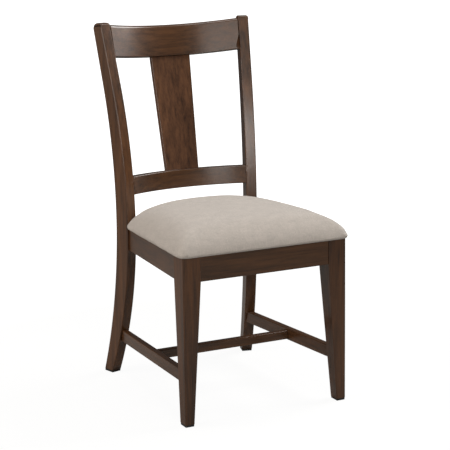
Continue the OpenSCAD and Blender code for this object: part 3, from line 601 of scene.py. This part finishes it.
def shape_top(vert):
    """Moves a point of the pad's top to where foam and cloth would bring it before the swell."""
    flat = vert.co.xy - seat_middle
    turn = math.atan2(flat.y, flat.x)
    own, soft, rounded = (at_turn(table, turn) for table in (reaches, soft_corners, round_corners))
    share = flat.length / own
    flat *= 1 + gradual((1 - share) / soft_zone) * (soft / own - 1)
    flat *= 1 + gradual((round_edge - share) / round_zone) * (rounded / soft - 1)
    vert.co.xy = seat_middle + flat
    vert.co.z += shoulder_lift * share ** 5 * (1 - share ** 8) - top_shrink * (1 - share ** 3)
    aside = min(1, (flat.x / half_width) ** 2)
    rear = gradual(flat.y / half_width) * (rear_dome_mm - rear_side_drop_mm * aside)
    front = gradual(-flat.y / half_width) * front_side_lift_mm * aside
    vert.co.z += (rear + front) * mm * (1 - share ** 10)


bmesh.ops.subdivide_edges(bm, edges=bm.edges, cuts=1)
for vert in bm.verts:
    height = above_frame(vert.co)
    if height > bulge_height:
        shape_top(vert)
    belly = math.exp(-(((height - bulge_height) / belly_spread) ** 2))
    if height > foot_height:
        vert.co.xy += (vert.co.xy - seat_middle).normalized() * belly_mm * mm * belly
pad = put_in_scene("pad_work", mesh_from(bm, "pad_start"))
print("pad shaped:", len(pad.data.vertices), "points")

# %% Even mesh
smooth_from, smooth_rounds = 6 * mm, 8
remesh = pad.modifiers.new("even_mesh", "REMESH")
remesh.mode = "VOXEL"
remesh.voxel_size = 6 * mm
pad.data = baked(pad, "pad_even")
pad.modifiers.clear()
bm = bmesh.new()
bm.from_mesh(pad.data)
soft = [v for v in bm.verts if above_frame(v.co) > smooth_from]
for factor in (0.5, -0.52) * smooth_rounds:
    bmesh.ops.smooth_vert(bm, verts=soft, factor=factor, use_axis_x=True, use_axis_y=True, use_axis_z=True)
bm.to_mesh(pad.data)
bm.free()
print("pad remeshed:", len(pad.data.vertices), "points,", len(soft), "of them smoothed")

# %% [markdown]
# ### Blow the pad up
# Pressure pushes every face outwards, and the mesh answers like cloth. Without a limit some points would
# go far, so each move is eased off towards the most that is allowed. The points near the board are held.
# A few rounds of smoothing then take out what the evenly spaced mesh left behind.


# %% Blow the pad up
def inflate(piece, held, pressure, frames, most):
    """Simulates the closed mesh as cloth under pressure, and keeps the result. No point moves further
    than most."""
    group = piece.vertex_groups.new(name="held")
    group.add(held, 1.0, "REPLACE")
    cloth = piece.modifiers.new("cloth", "CLOTH")
    cloth.settings.quality = 4
    cloth.settings.use_pressure = True
    cloth.settings.uniform_pressure_force = pressure
    cloth.settings.vertex_group_mass = "held"
    cloth.settings.effector_weights.gravity = 0
    cloth.collision_settings.use_collision = False
    for step in range(1, frames + 1):
        scene.frame_set(step)
    graph = bpy.context.evaluated_depsgraph_get()
    settled = [v.co.copy() for v in piece.evaluated_get(graph).data.vertices]
    piece.modifiers.remove(cloth)
    piece.vertex_groups.clear()
    moved = []
    for vert, end in zip(piece.data.vertices, settled):
        step = end - vert.co
        length = step.length
        if length > 1e-9:
            vert.co += step * (most * math.tanh(length / most) / length)
        moved.append(length)
    scene.frame_set(1)
    print("simulated:", frames, "frames, mean push", round(sum(moved) / len(moved) / mm, 2), "mm, most",
          round(max(moved) / mm, 2), "mm")


held_height, settle_rounds = 5 * mm, 12
held = [v.index for v in pad.data.vertices if above_frame(v.co) < held_height]
inflate(pad, held, pressure=4, frames=14, most=5 * mm)
bm = bmesh.new()
bm.from_mesh(pad.data)
for _ in range(settle_rounds):
    bmesh.ops.smooth_vert(bm, verts=[v for v in bm.verts if above_frame(v.co) > bulge_height], factor=0.5,
                          use_axis_x=True, use_axis_y=True, use_axis_z=True)
bm.to_mesh(pad.data)
bm.free()
offsets = []
for vert in pad.data.vertices:
    near, normal, _, _ = pad_surface.find_nearest(vert.co)
    offsets.append((vert.co - near).dot(normal) / mm)
print("pad against its CAD outline: mean", round(sum(offsets) / len(offsets), 2), "mm, from",
      round(min(offsets), 2), "to", round(max(offsets), 2))

# %% [markdown]
# ### The cover
# The cloth goes round the board's edge and ends in a hem that is stapled to the board's underside, so
# the middle of the pad's bottom is cut out. An automatic unwrap would turn and stretch the weave, so its
# UV map is laid out by rule: over the top it is just the plan, X and Y, and where the cloth turns down,
# the drop is added on the side it turns to.
# Subdivision rounds the surface and Solidify gives the cloth its thickness inwards.

# %% Cut the cover and lay out its weave
hem_width, foot_zone, least_length, downward = 32 * mm, 12 * mm, 0.1 * mm, -0.8
foot = [v.co for v in pad.data.vertices if above_frame(v.co) < foot_zone]
plan = [foot[i].xy for i in convex_hull_2d([v.xy for v in foot])]
plan_sides = [(a, (b - a).normalized()) for a, b in zip(plan, plan[1:] + plan[:1])
              if (b - a).length > least_length]


def inset(point):
    """How far inside the pad's plan a point lies."""
    return min(abs(along.cross(point.xy - start)) for start, along in plan_sides)


bm = bmesh.new()
bm.from_mesh(pad.data)
bm.normal_update()
middle = [f for f in bm.faces if f.normal.z < downward and inset(f.calc_center_median()) > hem_width]
bmesh.ops.delete(bm, geom=middle, context="FACES")
crown_top = max(v.co.z for v in bm.verts)
cloth_map = bm.loops.layers.uv.new("cloth")
for face in bm.faces:
    face.smooth = True
    for loop in face.loops:
        place, turn = loop.vert.co, loop.vert.normal
        drop = crown_top - place.z
        loop[cloth_map].uv = (place.x + turn.x * drop, place.y + turn.y * drop)
cover = put_in_scene("seat_cover_cloth", mesh_from(bm, "seat_cover_cloth"))
cover.data.materials.append(seat_linen)
rounding = cover.modifiers.new("rounding", "SUBSURF")
rounding.levels = rounding.render_levels = 1
thickness = cover.modifiers.new("thickness", "SOLIDIFY")
thickness.thickness = 1.2 * mm
thickness.offset = -1
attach(cover, "root")
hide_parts("seat_cover")
print("cover:", len(cover.data.polygons), "faces, hem", hem_width, "m wide")

# %% [markdown]
# ### The foam block
# The foam fills the cover down to the board. A block could be drawn for it, but the cover's own shape
# fits best: it is the same pad, moved in by a little more than the cloth's thickness and cut off along
# the board's top. It can't be seen, but a model that is taken apart should hold it. Its finish is a
# helper that the glides use later: a plain material whose colour wanders between two shades.


# %% Foam
def speckled(name, dark, light, scale, detail, rough):
    """A plain material with fine specks in two close shades."""
    material, tree, shader = new_material(name)
    specks = noise(tree, object_place(tree), scale, detail)
    feed(tree, shader, {"Base Color": two_tone(tree, specks, dark, light), "Roughness": rough})
    return material


board_face = max((f for f in nodes["seat_board"].data.polygons if f.normal.z > 0.9), key=lambda f: f.area)
board_top, board_up = board_face.center.copy(), board_face.normal.copy()
foam_inset_mm, board_gap_mm = 1.7, 0.3
bm = bmesh.new()
bm.from_mesh(pad.data)
bm.normal_update()
for vert in bm.verts:
    vert.co -= vert.normal * foam_inset_mm * mm
bmesh.ops.bisect_plane(bm, geom=bm.verts[:] + bm.edges[:] + bm.faces[:], dist=0.001 * mm,
                       plane_co=board_top + board_gap_mm * mm * board_up, plane_no=board_up,
                       clear_inner=True)
bmesh.ops.contextual_create(bm, geom=[e for e in bm.edges if e.is_boundary])
bmesh.ops.recalc_face_normals(bm, faces=bm.faces)
for face in bm.faces:
    face.smooth = len(face.verts) < 5  # the cut face, which has many corners, stays flat
foam = put_in_scene("seat_foam_block", mesh_from(bm, "seat_foam_block"))
foam.data.materials.append(
    speckled("seat_foam", (0.55, 0.46, 0.25, 1), (0.8, 0.7, 0.46, 1), scale=900, detail=2, rough=1))
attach(foam, "root")
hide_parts("seat_foam")
bpy.data.objects.remove(pad)
print("foam:", len(foam.data.polygons), "faces, cut at", [round(v, 4) for v in board_top])

# %% [markdown]
# ## The lining under the seat
# A thin black cloth closes the seat's underside and keeps dust off the foam. It is cut 12 mm too wide on
# every side, the extra is folded in so that no raw edge shows, and staples hold it to the board. It is
# pulled tight, so it needs no cloth simulation: rings of points, each moved in from the outline, make the
# fold and the flat middle. The outline is read off the CAD solid that the lining replaces: the rim of its
# lower face, without the screw holes.


# %% Outline helpers
def loops_of(edges):
    """The closed loops of points that a list of edges makes."""
    left, loops = dict.fromkeys(edges), []
    while left:
        edge = next(iter(left))
        del left[edge]
        first, at = edge.verts
        loop = [first.co.copy()]
        while at != first:
            loop.append(at.co.copy())
            edge = next(e for e in at.link_edges if e in left)
            del left[edge]
            at = edge.other_vert(at)
        loops.append(loop)
    return loops


def around(points):
    """Each point with the one before it and the one after it."""
    return zip(points[-1:] + points[:-1], points, points[1:] + points[:1])


def on_frame(plan_point, height):
    """A point over the sloping seat frame."""
    lifted = Vector((plan_point[0], plan_point[1], 0))
    lifted.z = height - above_frame(lifted)
    return lifted


def moved_in(points, distance):
    """A counter-clockwise outline with every side moved in by a distance."""
    result = []
    for before, point, after in around(points):
        first, second = (point - before).normalized(), (after - point).normalized()
        sides = Vector((-first.y, first.x)), Vector((-second.y, second.x))
        result.append(point + (sides[0] + sides[1]) * distance / (1 + sides[0].dot(sides[1])))
    return result


least_corner = 0.02
bm = bmesh.new()
bm.from_mesh(nodes["dust_cover"].data)
bmesh.ops.remove_doubles(bm, verts=bm.verts, dist=merge_gap)
lower = {f for f in bm.faces if f.normal.z < -0.9}
loops = loops_of([e for e in bm.edges if sum(f in lower for f in e.link_faces) == 1])
lining_height = sum(above_frame(v.co) for v in bm.verts) / len(bm.verts)
bm.free()
outline = [p.xy for p in max(loops, key=lambda points: sum((a - b).length for _, a, b in around(points)))]
outline = [p for before, p, after in around(outline)
           if abs((p - before).normalized().cross((after - p).normalized())) > least_corner]
if sum(a.cross(b) for _, a, b in around(outline)) < 0:
    outline.reverse()
print("lining outline:", len(outline), "corners, and", len(loops) - 1, "screw holes that are left out")

# %% Lining
hem, layer, fold_mm = 12 * mm, 0.22 * mm, 0.4
bm = bmesh.new()
rings = [[bm.verts.new(on_frame(p, lining_height + rise)) for p in moved_in(outline, inward)]
         for inward, rise in ((hem, layer), (2 * fold_mm * mm, layer), (fold_mm * mm, 0),
                              (2 * fold_mm * mm, -layer))]
for outer, inner in zip(rings, rings[1:]):
    for i in range(len(outer)):
        j = (i + 1) % len(outer)
        bm.faces.new((outer[i], outer[j], inner[j], inner[i]))
bmesh.ops.triangulate(bm, faces=[bm.faces.new(rings[-1])])
bmesh.ops.recalc_face_normals(bm, faces=bm.faces)
cloth_map = bm.loops.layers.uv.new("cloth")
for face in bm.faces:
    for loop in face.loops:
        loop[cloth_map].uv = loop.vert.co.xy
lining_area = sum(f.calc_area() for f in bm.faces)
lining = put_in_scene("seat_lining", mesh_from(bm, "seat_lining"))
lining.data.materials.append(
    woven_cloth("lining_black", (0.022, 0.021, 0.022), pitch=0.7 * mm, shade_change=0.15, fuzz=0.1))
thickness = lining.modifiers.new("thickness", "SOLIDIFY")
thickness.thickness = 0.25 * mm
thickness.offset = 0
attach(lining, "root")
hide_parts("dust_cover")

# %% [markdown]
# ### Staples
# An upholsterer's staple is a flat-topped bridge of wire whose two legs go up into the board. They stand
# about 38 mm apart along each side. A curve with a bevel would round their corners more finely, but they
# are 10 mm long and under the seat, so three thin cylinders each are enough, all in one mesh.

# %% Staples
staple_inset, staple_pitch, corner_clear, least_side = 6 * mm, 38 * mm, 24 * mm, 30 * mm
half_crown_mm, leg_length, crown_wire, leg_wire = 5, 5 * mm, 0.35 * mm, 0.3 * mm
crown_height = lining_height - layer - 0.5 * mm


def wire(bm, start, end, radius):
    """A straight piece of wire."""
    along = end - start
    place = Matrix.Translation((start + end) / 2) @ along.to_track_quat("Z", "Y").to_matrix().to_4x4()
    bmesh.ops.create_cone(bm, cap_ends=True, segments=8, radius1=radius, radius2=radius,
                          depth=along.length, matrix=place)


bm = bmesh.new()
staples = 0
for _, start, end in around(moved_in(outline, staple_inset)):
    length = (end - start).length
    count = int((length - corner_clear) // staple_pitch) + 1 if length > least_side else 0
    for i in range(count):
        middle = start.lerp(end, (i + 0.5) / count)
        half = (end - start).normalized() * half_crown_mm * mm
        left, right = on_frame(middle - half, crown_height), on_frame(middle + half, crown_height)
        wire(bm, left, right, crown_wire)
        for foot in (left, right):
            wire(bm, foot, foot + Vector((0, 0, leg_length)), leg_wire)
        staples += 1
staple_piece = put_in_scene("lining_staples", mesh_from(bm, "lining_staples"))

steel, tree, shader = new_material("zinc_steel")
smudges = noise(tree, object_place(tree), scale=187, detail=3)
shine = add_node(tree, "MapRange", {"Value": smudges, "To Min": 0.26, "To Max": 0.51})["Result"]
feed(tree, shader, {"Base Color": (0.56, 0.56, 0.57, 1), "Metallic": 1, "Roughness": shine})
staple_piece.data.materials.append(steel)
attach(staple_piece, "root")
print("staples:", staples)

# %% [markdown]
# ## Hidden wood and screws
# The corner blocks and the dowels are the same hardwood without stain, because nobody sees them. The seat
# board is plywood, whose edge shows its layers. They could be modelled as thin sheets, but a wave across
# the board's thickness, tilted like the seat, draws them as well. These CAD pieces already have the right
# shape, so they only get a finish.


# %% Hidden pieces
def dress(node_names, material):
    """Gives CAD pieces that stay as they are their material."""
    for name in node_names:
        nodes[name].data.materials.clear()
        nodes[name].data.materials.append(material)
    print(material.name, "on", ", ".join(node_names))


bare_wood = grained_wood("wood_bare", along_x, (0.33, 0.2, 0.11, 1), (0.5, 0.34, 0.2, 1), rough=0.6,
                         seed=5, coat=0)
dress([name for name in nodes if name.startswith("corner_block_") and "screws" not in name]
      + ["apron_dowels"], bare_wood)
dress(["corner_block_screws", "seat_screws"], steel)

plywood, tree, shader = new_material("board_plywood")
place = object_place(tree)
tilted = add_node(tree, "Mapping", {"Vector": place, "Rotation": (-math.atan(slope), 0, 0)})["Vector"]
layers = add_node(tree, "TexWave", {"Vector": tilted, "Scale": 105, "Distortion": 0.6},
                  bands_direction="Z")["Fac"]
grain = noise(tree, place, scale=220, detail=4)
mixed = add_node(tree, "Mix", {"Factor": 0.35, "A": layers, "B": grain}, data_type="FLOAT")["Result"]
feed(tree, shader, {"Base Color": two_tone(tree, mixed, (0.4, 0.27, 0.16, 1), (0.7, 0.54, 0.36, 1)),
                    "Roughness": 0.7})
dress(["seat_board"], plywood)

# %% [markdown]
# ## Glides
# A glide is a black nylon foot that is nailed under each leg, so that the chair slides and the wood stays
# off a wet floor. It could keep its sharp CAD edges, but moulded nylon has small round ones and a soft,
# low sheen, so it goes through the same edge helper as the wood.

# %% Glides
nylon = speckled("black_nylon", (0.009, 0.009, 0.01, 1), (0.026, 0.025, 0.024, 1), scale=400, detail=4,
                 rough=0.5)
for name in nodes:
    if name.startswith("glide_"):
        eased(name, 0.7 * mm, 0.7 * mm, nylon)
